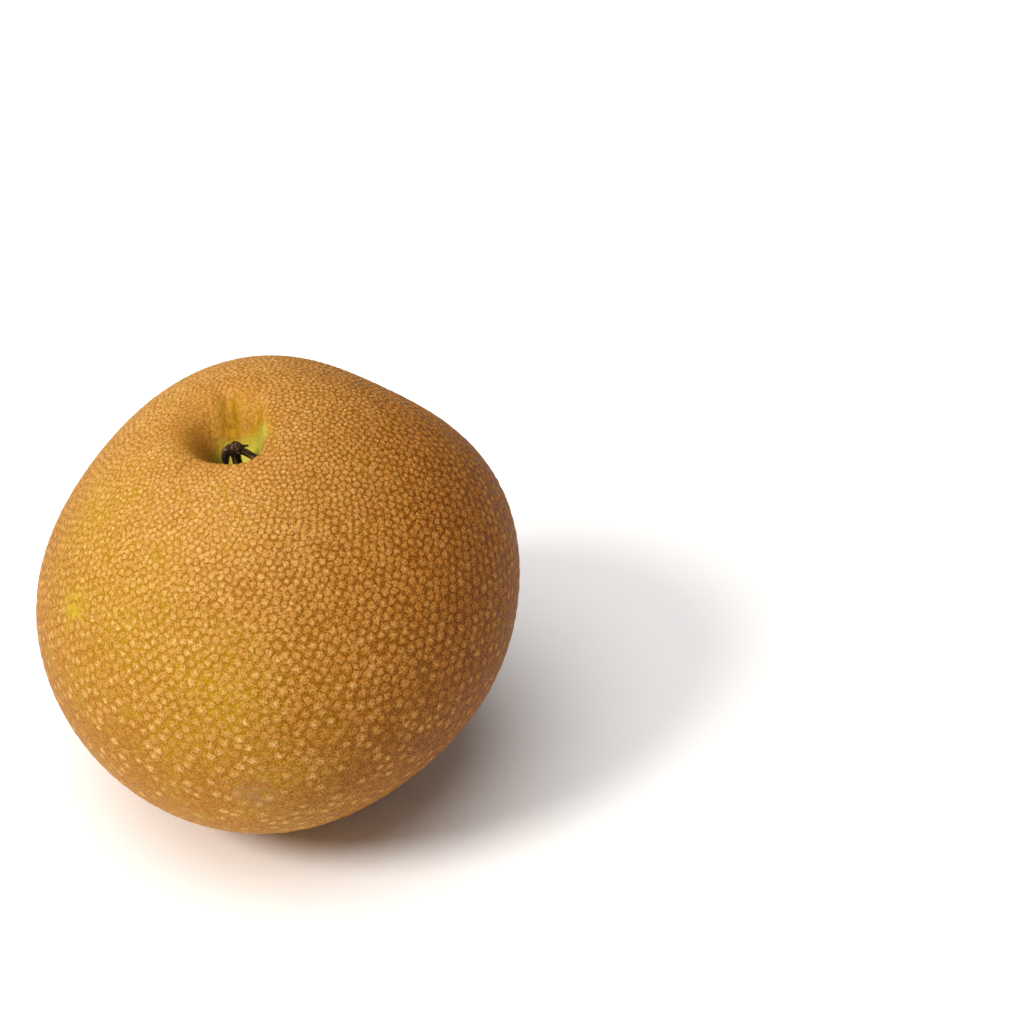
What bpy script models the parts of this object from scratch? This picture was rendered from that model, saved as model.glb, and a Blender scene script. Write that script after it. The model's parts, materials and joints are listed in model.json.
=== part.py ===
"""A nashi pear as picked: one round russet fruit, its dried stem and its dried calyx.

All lengths are in metres. Each piece is worked out about the middle of the fruit, and at the
end an empty carries them together, so that the flat foot lies on the floor at z = 0.
"""

import math
import random

import bmesh
import bpy
import numpy as np
from mathutils import Vector

MM = 0.001


def unit(x, y, z):
    return Vector((x, y, z)).normalized()


# The body is a slightly flattened ball that leans to the left
EQUATOR_RADIUS = 42.8 * MM
POLE_RADIUS = 40.5 * MM
BODY_AXIS = unit(-0.326, -0.047, 0.944)
MEAN_RADIUS = 41.8 * MM

# Soft swells of the body: height, the way it faces, and its spread in radians.
# A height below zero is a flat side.
SWELLS = (
    (-1.90 * MM, unit(0.64, -0.46, -0.61), 0.55),
    (-1.80 * MM, unit(-0.85, 0.32, 0.42), 0.50),
    (-0.75 * MM, unit(-0.85, -0.32, -0.42), 0.60),
    (1.25 * MM, unit(-0.12, 0.60, 0.79), 0.45),
    (1.45 * MM, unit(0.90, 0.26, 0.35), 0.40),
    (-0.95 * MM, unit(0.44, 0.54, 0.72), 0.30),
    (0.60 * MM, unit(0.15, 0.92, -0.36), 0.60),
)

# The stem cavity: a shallow dish with a pit in it. The pit is a wide soft funnel at the back
# left and has a tight lip at the front right. Its mouth is a mean radius with waves round it:
# how many, their height and the bearing of a crest. Its softness says how gently the wall starts
# at the mouth, and it is more at the back and on the left.
STEM_WAY = unit(-0.135, -0.138, 0.981)
DISH_DEPTH = 1.4 * MM
DISH_SPREAD = 11.0 * MM
PIT_DEPTH = 8.8 * MM
PIT_FLOOR = 3.7 * MM
PIT_MOUTH = 9.9 * MM
PIT_WAVES = (
    (1, 3.85 * MM, math.radians(126)),
    (2, 1.35 * MM, math.radians(112)),
    (3, 0.75 * MM, math.radians(82)),
)
PIT_SOFTNESS = 1.3
PIT_SOFTER_BACK = 0.45
PIT_BACK = math.radians(127)
PIT_SOFTER_LEFT = 0.9
PIT_LEFT = math.radians(205)

# Furrows in the cavity: depth, half width, bearing, and where they start and end, out from the stem.
# A furrow has its full depth in the middle part of its length, and ends softly.
FURROW_FULLNESS = 1.35
FURROWS = (
    (1.70 * MM, 1.55 * MM, math.radians(98), 4.5 * MM, 15.5 * MM),
    (0.80 * MM, 1.10 * MM, math.radians(60), 4.0 * MM, 11.0 * MM),
    (0.80 * MM, 0.90 * MM, math.radians(216), 6.0 * MM, 12.0 * MM),
)

# The calyx basin under the fruit
CALYX_WAY = unit(-0.036, 0.010, -1.0)
BASIN_DEPTH = 6.3 * MM
BASIN_MOUTH = 8.2 * MM
BASIN_RIB = 0.45 * MM
BASIN_RIBS = 5
BASIN_FLOOR = 3.6 * MM

# The fruit rests on a flat ring round the basin, this far under its middle
FOOT_DROP = 39.5 * MM

# Plain holes that the stem and the calyx stand in, with a gap all round
GAP = 0.35 * MM
STEM_ROOT_RADIUS = 1.5 * MM
STEM_ROOT_END = 27.2 * MM
CALYX_ROOT_RADIUS = 1.5 * MM
CALYX_ROOT_END = 31.6 * MM
HOLE_TOP_SPARE = 2.5 * MM
HOLE_SIDES = 20

# Lenticels, drawn larger than life: their spacing at the stem end and at the calyx end
LENTICEL_SPACING_STEM = 3.7 * MM
LENTICEL_SPACING_CALYX = 6.0 * MM
LENTICEL_HEIGHT = 0.40 * MM
LENTICEL_JITTER = 0.16
LENTICEL_BASIN_EDGE = 12 * MM
LENTICEL_FADE = 4 * MM
HEXAGON_PACKING = math.sqrt(3) / 2
GOLDEN_ANGLE = math.pi * (3 - math.sqrt(5))
LENTICEL_SEED = 7

# Where the mesh is refined: angle from the axis, one halving of the edges for each value
PIT_REFINED = (math.radians(21), math.radians(12.5))
BASIN_REFINED = (math.radians(16), math.radians(13.5))

FLOOR_BLOCK_SIDE = 4 * MEAN_RADIUS
SEPALS = 5
THREADS = 7

# Colour and roughness of each piece
SKIN_FINISH = ((0.55, 0.27, 0.06, 1.0), 0.55)
STEM_FINISH = ((0.05, 0.025, 0.012, 1.0), 0.80)
CALYX_FINISH = ((0.09, 0.04, 0.018, 1.0), 0.85)


def clear_scene():
    for old in list(bpy.data.objects):
        bpy.data.objects.remove(old, do_unlink=True)


def material(name, colour, roughness):
    """A plain surface in the piece's own colour."""
    made = bpy.data.materials.new(name)
    made.use_nodes = True
    shader = made.node_tree.nodes["Principled BSDF"]
    shader.inputs["Base Color"].default_value = colour
    shader.inputs["Roughness"].default_value = roughness
    shader.inputs["Metallic"].default_value = 0.0
    return made


def add_object(name, mesh_maker, made_of=None):
    """Links a new object whose mesh is filled by mesh_maker(bm)."""
    bm = bmesh.new()
    mesh_maker(bm)
    bmesh.ops.recalc_face_normals(bm, faces=bm.faces)
    mesh = bpy.data.meshes.new(name)
    bm.to_mesh(mesh)
    bm.free()
    mesh.shade_smooth()
    added = bpy.data.objects.new(name, mesh)
    bpy.context.collection.objects.link(added)
    if made_of:
        mesh.materials.append(made_of)
    return added


def ease(share):
    """0 below 0, 1 above 1, and a smooth S between."""
    share = np.clip(share, 0.0, 1.0)
    return share * share * (3 - 2 * share)


def frame_about(way):
    """Right and away, square to a way out of the fruit; away is +Y on an upright way."""
    right = (Vector((1, 0, 0)) - way * way.x).normalized()
    return right, way.cross(right)


def place_about(ways, way):
    """Distance along the skin from a pole, and the bearing round it, for each direction."""
    right, away = frame_about(way)
    reach = MEAN_RADIUS * np.arccos(np.clip(ways @ np.array(way), -1, 1))
    bearing = np.arctan2(ways @ np.array(away), ways @ np.array(right))
    return reach, bearing


def pit_mouth(bearing):
    """Radius of the pit's mouth on each side of the stem."""
    mouth = PIT_MOUTH
    for count, height, crest in PIT_WAVES:
        mouth = mouth + height * np.cos(count * (bearing - crest))
    return mouth


def stem_cavity(ways):
    """How far the skin lies below the body round the stem."""
    reach, bearing = place_about(ways, STEM_WAY)
    mouth = pit_mouth(bearing)
    dish = DISH_DEPTH * np.exp(-((reach / DISH_SPREAD) ** 2))
    inward = np.clip((mouth - reach) / (mouth - PIT_FLOOR), 0, 1)
    softness = PIT_SOFTNESS + PIT_SOFTER_BACK * np.cos(bearing - PIT_BACK)
    softness += PIT_SOFTER_LEFT * np.clip(np.cos(bearing - PIT_LEFT), 0, 1) ** 2
    depth = dish + PIT_DEPTH * ease(inward**softness)
    for furrow_depth, half_width, furrow_bearing, start, end in FURROWS:
        across = reach * np.sin(bearing - furrow_bearing)
        ahead = np.cos(bearing - furrow_bearing) > 0
        middle, half_length = (start + end) / 2, (end - start) / 2
        along = ease(FURROW_FULLNESS * (1 - np.abs(reach - middle) / half_length))
        depth += furrow_depth * ahead * along * np.exp(-((across / half_width) ** 2))
    return depth


def calyx_basin(ways):
    """How far the skin lies below the body round the calyx."""
    reach, bearing = place_about(ways, CALYX_WAY)
    mouth = BASIN_MOUTH + BASIN_RIB * np.cos(BASIN_RIBS * bearing)
    return BASIN_DEPTH * ease((mouth - reach) / (mouth - BASIN_FLOOR))


def skin_radius(ways):
    """Distance from the middle of the fruit to its smooth skin, for each unit direction."""
    lean = ways @ np.array(BODY_AXIS)
    radius = 1 / np.sqrt((1 - lean**2) / EQUATOR_RADIUS**2 + lean**2 / POLE_RADIUS**2)
    for height, facing, spread in SWELLS:
        apart = np.arccos(np.clip(ways @ np.array(facing), -1, 1))
        radius += height * np.exp(-((apart / spread) ** 2))
    return radius - stem_cavity(ways) - calyx_basin(ways)


def lenticel_strength(ways):
    """1 on the open skin, fading to 0 in the cavity, in the basin and on the foot."""
    reach, bearing = place_about(ways, STEM_WAY)
    open_skin = ease((reach - pit_mouth(bearing)) / LENTICEL_FADE)
    under, _ = place_about(ways, CALYX_WAY)
    return open_skin * ease((under - LENTICEL_BASIN_EDGE) / LENTICEL_FADE)


def lenticel_ways():
    """Golden-angle spiral from the stem to the calyx, its spacing growing on the way."""
    first, last = LENTICEL_SPACING_STEM, LENTICEL_SPACING_CALYX
    count = round(4 * math.pi * MEAN_RADIUS**2 / (HEXAGON_PACKING * first * last))
    right, away = frame_about(STEM_WAY)
    chance = random.Random(LENTICEL_SEED)
    ways = []
    for number in range(count):
        share = (number + 0.5) / count
        spacing = 1 / (1 / first + share * (1 / last - 1 / first))
        height = 1 - 2 * (spacing - first) / (last - first)
        ring = math.sqrt(1 - height**2)
        turn = number * GOLDEN_ANGLE
        way = STEM_WAY * height + (right * math.cos(turn) + away * math.sin(turn)) * ring
        nudge = LENTICEL_JITTER * spacing / MEAN_RADIUS
        ways.append((way + Vector([chance.uniform(-nudge, nudge) for _ in range(3)])).normalized())
    return ways


def refine(bm, axis, angles):
    """Halves the edges near an axis, once for each angle, and draws the new points out to the ball."""
    for angle in angles:
        least = math.cos(angle)
        near = [f for f in bm.faces if all(v.co.normalized().dot(axis) > least for v in f.verts)]
        edges = list({edge for face in near for edge in face.edges})
        bmesh.ops.subdivide_edges(bm, edges=edges, cuts=1, use_grid_fill=True)
        bmesh.ops.triangulate(bm, faces=bm.faces)
        for vert in bm.verts:
            vert.co.normalize()


def fruit_mesh(bm):
    """Fans of six triangles round raised lenticels, drawn out from a ball to the skin."""
    for way in lenticel_ways():
        bm.verts.new(way)
    bmesh.ops.convex_hull(bm, input=bm.verts)
    raised = bm.verts.layers.float.new("raised")
    for vert in bm.verts:
        vert[raised] = 1.0
    hull_edges = list(bm.edges)
    for vert in bmesh.ops.poke(bm, faces=bm.faces)["verts"]:
        vert[raised] = 0.0
        vert.co.normalize()
    bmesh.ops.rotate_edges(bm, edges=hull_edges, use_ccw=False)
    refine(bm, STEM_WAY, PIT_REFINED)
    refine(bm, CALYX_WAY, BASIN_REFINED)
    bm.verts.ensure_lookup_table()
    ways = np.array([vert.co for vert in bm.verts])
    lift = LENTICEL_HEIGHT * np.array([vert[raised] for vert in bm.verts]) * lenticel_strength(ways)
    for vert, radius in zip(bm.verts, skin_radius(ways) + lift):
        vert.co *= radius


def cut_away(piece, tool):
    """Takes the tool out of the piece with an applied Boolean, and removes the tool."""
    cut = piece.modifiers.new("cut", "BOOLEAN")
    cut.operation = "DIFFERENCE"
    cut.solver = "EXACT"
    cut.object = tool
    apply_modifiers(piece)
    bpy.data.objects.remove(tool, do_unlink=True)


def apply_modifiers(piece):
    """Replaces the piece's mesh by the one that its modifiers make."""
    evaluated = piece.evaluated_get(bpy.context.evaluated_depsgraph_get())
    finished = bpy.data.meshes.new_from_object(evaluated)
    piece.modifiers.clear()
    piece.data = finished


def cutter(name, mesh_maker):
    """A shape that is only there to be cut out of another."""
    made = add_object(name, mesh_maker)
    made.hide_render = True
    made.display_type = "WIRE"
    return made


def floor_block(bm):
    """A block whose top is the floor under the fruit."""
    bmesh.ops.create_cube(bm, size=FLOOR_BLOCK_SIDE)
    bmesh.ops.translate(bm, verts=bm.verts, vec=(0, 0, -FOOT_DROP - FLOOR_BLOCK_SIDE / 2))


def hole_block(way, radius, inner, outer):
    """Gives the maker of a round plug along a way out of the fruit."""

    def plug(bm):
        tube(bm, [(way * inner, radius), (way * outer, radius)], HOLE_SIDES)

    return plug


def tube(bm, stations, sides):
    """A closed tube through stations, each a centre and a radius, with rings square to its run."""
    rings = []
    guide = frame_about((stations[-1][0] - stations[0][0]).normalized())[0]
    for index, (centre, radius) in enumerate(stations):
        before = stations[max(index - 1, 0)][0]
        after = stations[min(index + 1, len(stations) - 1)][0]
        along = (after - before).normalized()
        across = (guide - along * guide.dot(along)).normalized()
        upward = along.cross(across)
        ring = []
        for step in range(sides):
            turn = 2 * math.pi * step / sides
            ring.append(bm.verts.new(centre + (across * math.cos(turn) + upward * math.sin(turn)) * radius))
        rings.append(ring)
    for low, high in zip(rings, rings[1:]):
        for step in range(sides):
            beside = (step + 1) % sides
            bm.faces.new((low[step], low[beside], high[beside], high[step]))
    bm.faces.new(list(reversed(rings[0])))
    bm.faces.new(rings[-1])


def fuse(name, makers, made_of):
    """One solid from several closed shapes: the first is joined with all the others at once."""
    others = bpy.data.collections.new(name + "_shapes")
    bpy.context.scene.collection.children.link(others)
    fused = add_object(name, makers[0], made_of)
    for number, maker in enumerate(makers[1:]):
        shape = add_object(f"{name}_shape_{number}", maker, made_of)
        bpy.context.collection.objects.unlink(shape)
        others.objects.link(shape)
    union = fused.modifiers.new("union", "BOOLEAN")
    union.operation = "UNION"
    union.solver = "EXACT"
    union.operand_type = "COLLECTION"
    union.collection = others
    apply_modifiers(fused)
    for shape in list(others.objects):
        bpy.data.objects.remove(shape, do_unlink=True)
    bpy.data.collections.remove(others)
    return fused


def strand(way, stations, sides=8):
    """Gives the maker of a tube from (right, away, out, radius) stations in millimetres about a way."""
    right, away = frame_about(way)

    def grow(bm):
        path = []
        for to_right, to_back, out, radius in stations:
            path.append(((right * to_right + away * to_back + way * out) * MM, radius * MM))
        tube(bm, path, sides)

    return grow


def lump(way, to_right, to_back, out, half_width, half_height):
    """Gives the maker of a rounded lump, in millimetres about a way."""
    right, away = frame_about(way)

    def swell(bm):
        bmesh.ops.create_icosphere(bm, subdivisions=2, radius=1.0)
        centre = right * to_right + away * to_back + way * out
        for vert in bm.verts:
            side = right * vert.co.x + away * vert.co.y
            vert.co = (centre + side * half_width + way * vert.co.z * half_height) * MM

    return swell


def make_fruit(skin):
    fruit = add_object("fruit", fruit_mesh, skin)
    cut_away(fruit, cutter("floor", floor_block))
    stem_hole = (STEM_WAY, STEM_ROOT_RADIUS + GAP, STEM_ROOT_END - GAP)
    calyx_hole = (CALYX_WAY, CALYX_ROOT_RADIUS + GAP, CALYX_ROOT_END - GAP)
    for name, (way, radius, inner) in (("stem_hole", stem_hole), ("calyx_hole", calyx_hole)):
        floor_radius = skin_radius(np.array([way]))[0]
        cut_away(fruit, cutter(name, hole_block(way, radius, inner, floor_radius + HOLE_TOP_SPARE)))
    fruit.data.shade_smooth()
    return fruit


def make_stem(bark):
    """A dried stub with a knob at its broken end and three strands that splay from the knob."""
    root = STEM_ROOT_RADIUS / MM
    trunk = (
        (0.0, 0.0, STEM_ROOT_END / MM, root),
        (0.0, 0.0, 30.4, root),
        (0.1, 0.0, 31.6, 1.15),
        (0.0, -0.1, 33.4, 0.80),
        (0.05, -0.1, 35.2, 0.82),
        (0.2, 0.0, 36.6, 0.95),
    )
    left_strand = (
        (-0.1, 0.1, 36.9, 0.60),
        (-1.1, -0.1, 36.7, 0.74),
        (-1.6, -0.4, 35.5, 0.70),
        (-1.7, -0.7, 34.3, 0.58),
        (-1.65, -0.8, 33.9, 0.36),
    )
    right_strand = (
        (0.6, 0.0, 36.5, 0.70),
        (1.6, -0.2, 35.9, 0.60),
        (2.7, -0.3, 34.9, 0.60),
        (3.2, -0.4, 34.4, 0.64),
        (3.45, -0.4, 34.25, 0.40),
    )
    small_bit = (
        (0.8, 0.2, 37.0, 0.36),
        (1.8, 0.4, 36.5, 0.30),
        (2.5, 0.6, 36.4, 0.28),
    )
    makers = (
        strand(STEM_WAY, trunk, 12),
        lump(STEM_WAY, 0.35, 0.0, 37.0, 1.30, 0.95),
        lump(STEM_WAY, -0.4, -0.1, 36.7, 0.95, 1.05),
        strand(STEM_WAY, left_strand),
        strand(STEM_WAY, right_strand),
        strand(STEM_WAY, small_bit),
    )
    return fuse("stem", makers, bark)


def make_calyx(bark):
    """A dried cup with five withered sepals and a few short threads of the stamens."""
    root = CALYX_ROOT_RADIUS / MM
    cup = (
        (0.0, 0.0, CALYX_ROOT_END / MM, root),
        (0.0, 0.0, 34.0, root),
        (0.0, 0.0, 35.0, 1.9),
        (0.0, 0.0, 35.6, 1.8),
    )
    makers = [strand(CALYX_WAY, cup, 12)]
    for number in range(SEPALS):
        turn = 2 * math.pi * (number + 0.15 * math.sin(3 * number)) / SEPALS
        right, back = math.cos(turn), math.sin(turn)
        tip = 37.3 + 0.3 * math.sin(2.3 * number)
        sepal = (
            (1.1 * right, 1.1 * back, 34.9, 0.55),
            (2.2 * right, 2.2 * back, 35.7, 0.60),
            (3.0 * right, 3.0 * back, 36.7, 0.45),
            (2.9 * right, 2.9 * back, tip, 0.30),
        )
        makers.append(strand(CALYX_WAY, sepal, 6))
    for number in range(THREADS):
        turn = number * GOLDEN_ANGLE
        reach = 0.45 * math.sqrt(number)
        foot_right, foot_back = reach * math.cos(turn), reach * math.sin(turn)
        thread = (
            (foot_right, foot_back, 35.1, 0.32),
            (1.15 * foot_right, 1.15 * foot_back, 36.4, 0.30),
            (1.5 * foot_right, 1.4 * foot_back, 37.2 + 0.3 * math.cos(1.7 * number), 0.32),
        )
        makers.append(strand(CALYX_WAY, thread, 5))
    return fuse("calyx", makers, bark)


def stand_on_floor(pieces):
    """An empty carries the pieces, so that their box stands centred on the floor."""
    corners = np.array([vert.co for piece in pieces for vert in piece.data.vertices])
    middle = (corners.min(axis=0) + corners.max(axis=0)) / 2
    stand = bpy.data.objects.new("stand", None)
    bpy.context.collection.objects.link(stand)
    stand.location = (-middle[0], -middle[1], FOOT_DROP)
    for piece in pieces:
        piece.parent = stand
    bpy.context.view_layer.update()
    print("the fruit's middle stands at", [round(value / MM, 3) for value in stand.location], "mm")


def main():
    clear_scene()
    fruit = make_fruit(material("russet skin", *SKIN_FINISH))
    stem = make_stem(material("dried stem", *STEM_FINISH))
    calyx = make_calyx(material("dried calyx", *CALYX_FINISH))
    stand_on_floor([fruit, stem, calyx])


main()
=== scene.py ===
# %% [markdown]
# # A nashi pear
# A round russet fruit on a pale floor, seen from a little above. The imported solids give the
# places and the sizes. This script makes the fine surface: thousands of raised lenticels, the
# dried stem in its cavity and the dried calyx under the fruit.

# %% Load the frame
import json
import math
import random

import bpy
import numpy as np
from mathutils import Matrix, Vector, noise

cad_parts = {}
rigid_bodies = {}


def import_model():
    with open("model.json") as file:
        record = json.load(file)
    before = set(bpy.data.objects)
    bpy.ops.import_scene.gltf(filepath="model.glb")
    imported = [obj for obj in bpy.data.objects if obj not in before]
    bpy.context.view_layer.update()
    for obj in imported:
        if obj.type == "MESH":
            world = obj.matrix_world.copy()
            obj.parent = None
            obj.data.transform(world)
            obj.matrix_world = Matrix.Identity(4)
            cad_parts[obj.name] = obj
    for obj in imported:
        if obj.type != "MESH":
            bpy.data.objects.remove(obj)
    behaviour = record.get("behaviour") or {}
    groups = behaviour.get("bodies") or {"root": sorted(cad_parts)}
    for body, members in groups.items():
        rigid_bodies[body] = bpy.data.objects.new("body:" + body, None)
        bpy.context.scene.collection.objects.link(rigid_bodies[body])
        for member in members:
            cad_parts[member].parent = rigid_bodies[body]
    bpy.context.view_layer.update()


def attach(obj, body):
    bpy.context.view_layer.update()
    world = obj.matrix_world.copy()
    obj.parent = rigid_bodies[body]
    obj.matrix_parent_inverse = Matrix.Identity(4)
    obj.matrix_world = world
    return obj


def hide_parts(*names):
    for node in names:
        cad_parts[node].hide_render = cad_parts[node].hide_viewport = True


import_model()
MM = 0.001


# %% [markdown]
# ## Camera, floor and light
# The photograph looks down on the fruit from 37 degrees, with a long lens. The fruit stands left
# of the middle of the frame, so the camera is moved sideways and not turned. The light comes from
# high on the left, from one large soft source and a broader one overhead, and a white room fills
# the rest, so a soft shadow falls to the right.

# %% Camera
# The heart is the middle of the fruit, and all else is placed from it
HEART = Vector((-0.598, -0.217, 39.5)) * MM
LOOK_DOWN = math.radians(37)
CAMERA_AWAY = 502 * MM
CAMERA_RIGHT = 41.7 * MM
CAMERA_UP = 15.0 * MM
LENS_MM, SENSOR_MM = 100, 36
NEAREST_SEEN = 10 * MM

view_right = Vector((1, 0, 0))
view_back = Vector((0, -math.cos(LOOK_DOWN), math.sin(LOOK_DOWN)))
view_up = view_back.cross(view_right)
camera = bpy.data.objects.new("camera", bpy.data.cameras.new("camera"))
bpy.context.scene.collection.objects.link(camera)
camera.data.lens = LENS_MM
camera.data.sensor_width = SENSOR_MM
camera.data.clip_start = NEAREST_SEEN
turn = Matrix((view_right, view_up, view_back)).transposed().to_4x4()
turn.translation = HEART + view_right * CAMERA_RIGHT + view_up * CAMERA_UP + view_back * CAMERA_AWAY
camera.matrix_world = turn
bpy.context.scene.camera = camera
print("camera stands at", [round(value, 3) for value in camera.matrix_world.translation], "m")

# %% [markdown]
# The floor is one wide sheet of matt white paper. Paper is pressed from fibres and left uncoated,
# and the fibres scatter light all ways, so it shows soft shadows and no shine. Colours are written
# as the eye sees them, in sRGB, and one function turns them to the linear values of the shaders.

# %% Floor
def colour(code):
    """Linear colour from an sRGB hex code such as #C58A46."""
    parts = [int(code[place : place + 2], 16) / 255 for place in (1, 3, 5)]
    linear = [part / 12.92 if part <= 0.04045 else ((part + 0.055) / 1.055) ** 2.4 for part in parts]
    return (*linear, 1.0)


def new_material(name):
    made = bpy.data.materials.new(name)
    made.use_nodes = True
    return made, made.node_tree, made.node_tree.nodes["Principled BSDF"]


def select_none():
    """Edit operators act on all that is selected, so each piece starts from nothing selected."""
    for thing in bpy.context.view_layer.objects:
        thing.select_set(False)


FLOOR_SIDE = 6.0
PAPER_ROUGHNESS = 0.9
select_none()
bpy.ops.mesh.primitive_plane_add(size=FLOOR_SIDE, location=(0, 0, 0))
floor = bpy.context.active_object
floor.name = "floor"
floor_paint, tree, shader = new_material("matt white paper sweep")
shader.inputs["Base Color"].default_value = colour("#FCFBFA")
shader.inputs["Roughness"].default_value = PAPER_ROUGHNESS
floor.data.materials.append(floor_paint)
print("floor is", FLOOR_SIDE, "m wide")

# %% Lights
ROOM_STRENGTH = 0.16
world = bpy.data.worlds.new("white room")
world.use_nodes = True
world.node_tree.nodes["Background"].inputs["Color"].default_value = colour("#FFFDFB")
world.node_tree.nodes["Background"].inputs["Strength"].default_value = ROOM_STRENGTH
bpy.context.scene.world = world
bpy.context.scene.view_settings.view_transform = "Standard"


def soft_sun(name, bearing, height, width, strength, shade="#FFFFFF"):
    """A broad even light: its bearing round the fruit, height over the floor and width in degrees."""
    light = bpy.data.lights.new(name, "SUN")
    light.angle = math.radians(width)
    light.energy = strength
    light.color = colour(shade)[:3]
    holder = bpy.data.objects.new(name, light)
    bpy.context.scene.collection.objects.link(holder)
    lean = math.radians(90 - height)
    holder.rotation_euler = (0, lean, math.radians(bearing))
    return holder


soft_sun("key softbox", 214, 42, 18, 2.30, "#FFFBF6")
soft_sun("overhead softbox", 235, 76, 50, 2.15)
print("two broad soft lights and a dim white room")


# %% [markdown]
# ## The form of the fruit
# A nashi is a ball pressed a little flat, with soft swells, a deep stem cavity with furrows, and
# a calyx basin. It could be sculpted by hand. Here the skin's distance from the fruit's middle is
# worked out for each direction instead, with the same values as the solid, so that the fine skin
# lies where the solid lies.

# %% Body
def unit(x, y, z):
    return Vector((x, y, z)).normalized()


EQUATOR_RADIUS, POLE_RADIUS, MEAN_RADIUS = 42.8 * MM, 40.5 * MM, 41.8 * MM
BODY_AXIS = unit(-0.326, -0.047, 0.944)
# Swells of the body: height, the way each faces, and its spread in radians. Below zero it is flat.
SWELLS = (
    (-1.90 * MM, unit(0.64, -0.46, -0.61), 0.55),
    (-1.80 * MM, unit(-0.85, 0.32, 0.42), 0.50),
    (-0.75 * MM, unit(-0.85, -0.32, -0.42), 0.60),
    (1.25 * MM, unit(-0.12, 0.60, 0.79), 0.45),
    (1.45 * MM, unit(0.90, 0.26, 0.35), 0.40),
    (-0.95 * MM, unit(0.44, 0.54, 0.72), 0.30),
    (0.60 * MM, unit(0.15, 0.92, -0.36), 0.60),
)


def ease(share):
    """0 below 0, 1 above 1, and a smooth S between."""
    share = np.clip(share, 0.0, 1.0)
    return share * share * (3 - 2 * share)


def frame_about(way):
    """Right and away, square to a way out of the fruit."""
    right = (Vector((1, 0, 0)) - way * way.x).normalized()
    return right, way.cross(right)


def place_about(ways, way):
    """Distance along the skin from a pole, and the bearing round it, for each direction."""
    right, away = frame_about(way)
    reach = MEAN_RADIUS * np.arccos(np.clip(ways @ np.array(way), -1, 1))
    return reach, np.arctan2(ways @ np.array(away), ways @ np.array(right))


print("the body is", round(2 * EQUATOR_RADIUS / MM, 1), "mm across before its swells")

# %% Stem cavity
STEM_WAY = unit(-0.135, -0.138, 0.981)
DISH_DEPTH, DISH_SPREAD = 1.4 * MM, 11.0 * MM
PIT_DEPTH, PIT_FLOOR, PIT_MOUTH = 8.8 * MM, 3.7 * MM, 9.9 * MM
# Waves round the pit's mouth: how many, their height, and the bearing of a crest
PIT_WAVES = (
    (1, 3.85 * MM, math.radians(126)),
    (2, 1.35 * MM, math.radians(112)),
    (3, 0.75 * MM, math.radians(82)),
)
# How gently the wall starts at the mouth: more at the back and on the left
PIT_SOFTNESS, PIT_SOFTER_BACK, PIT_BACK = 1.3, 0.45, math.radians(127)
PIT_SOFTER_LEFT, PIT_LEFT = 0.9, math.radians(205)
# Furrows: depth, half width, bearing, and where they start and end, out from the stem
FURROW_FULLNESS = 1.35
FURROWS = (
    (1.70 * MM, 1.55 * MM, math.radians(98), 4.5 * MM, 15.5 * MM),
    (0.80 * MM, 1.10 * MM, math.radians(60), 4.0 * MM, 11.0 * MM),
    (0.80 * MM, 0.90 * MM, math.radians(216), 6.0 * MM, 12.0 * MM),
)


def pit_mouth(bearing):
    return PIT_MOUTH + sum(height * np.cos(count * (bearing - crest)) for count, height, crest in PIT_WAVES)


def stem_cavity(ways):
    """How far the skin lies below the body round the stem."""
    reach, bearing = place_about(ways, STEM_WAY)
    mouth = pit_mouth(bearing)
    inward = np.clip((mouth - reach) / (mouth - PIT_FLOOR), 0, 1)
    softness = PIT_SOFTNESS + PIT_SOFTER_BACK * np.cos(bearing - PIT_BACK)
    softness += PIT_SOFTER_LEFT * np.clip(np.cos(bearing - PIT_LEFT), 0, 1) ** 2
    depth = DISH_DEPTH * np.exp(-((reach / DISH_SPREAD) ** 2)) + PIT_DEPTH * ease(inward**softness)
    for furrow_depth, half_width, furrow_bearing, start, end in FURROWS:
        across = reach * np.sin(bearing - furrow_bearing)
        ahead = np.cos(bearing - furrow_bearing) > 0
        middle, half_length = (start + end) / 2, (end - start) / 2
        along = ease(FURROW_FULLNESS * (1 - np.abs(reach - middle) / half_length))
        depth += furrow_depth * ahead * along * np.exp(-((across / half_width) ** 2))
    return depth


print("the cavity is", round(float(stem_cavity(np.array([STEM_WAY]))[0]) / MM, 2), "mm deep at the stem")

# %% Calyx basin and the whole skin
CALYX_WAY = unit(-0.036, 0.010, -1.0)
BASIN_DEPTH, BASIN_MOUTH, BASIN_FLOOR = 6.3 * MM, 8.2 * MM, 3.6 * MM
BASIN_RIB, BASIN_RIBS = 0.45 * MM, 5


def calyx_basin(ways):
    """How far the skin lies below the body round the calyx."""
    reach, bearing = place_about(ways, CALYX_WAY)
    mouth = BASIN_MOUTH + BASIN_RIB * np.cos(BASIN_RIBS * bearing)
    return BASIN_DEPTH * ease((mouth - reach) / (mouth - BASIN_FLOOR))


def skin_radius(ways):
    """Distance from the middle of the fruit to its smooth skin, for each unit direction."""
    lean = ways @ np.array(BODY_AXIS)
    radius = 1 / np.sqrt((1 - lean**2) / EQUATOR_RADIUS**2 + lean**2 / POLE_RADIUS**2)
    for height, facing, spread in SWELLS:
        apart = np.arccos(np.clip(ways @ np.array(facing), -1, 1))
        radius += height * np.exp(-((apart / spread) ** 2))
    return radius - stem_cavity(ways) - calyx_basin(ways)


print("the skin under the stem lies", round(float(skin_radius(np.array([STEM_WAY]))[0]) / MM, 2), "mm out")

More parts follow.
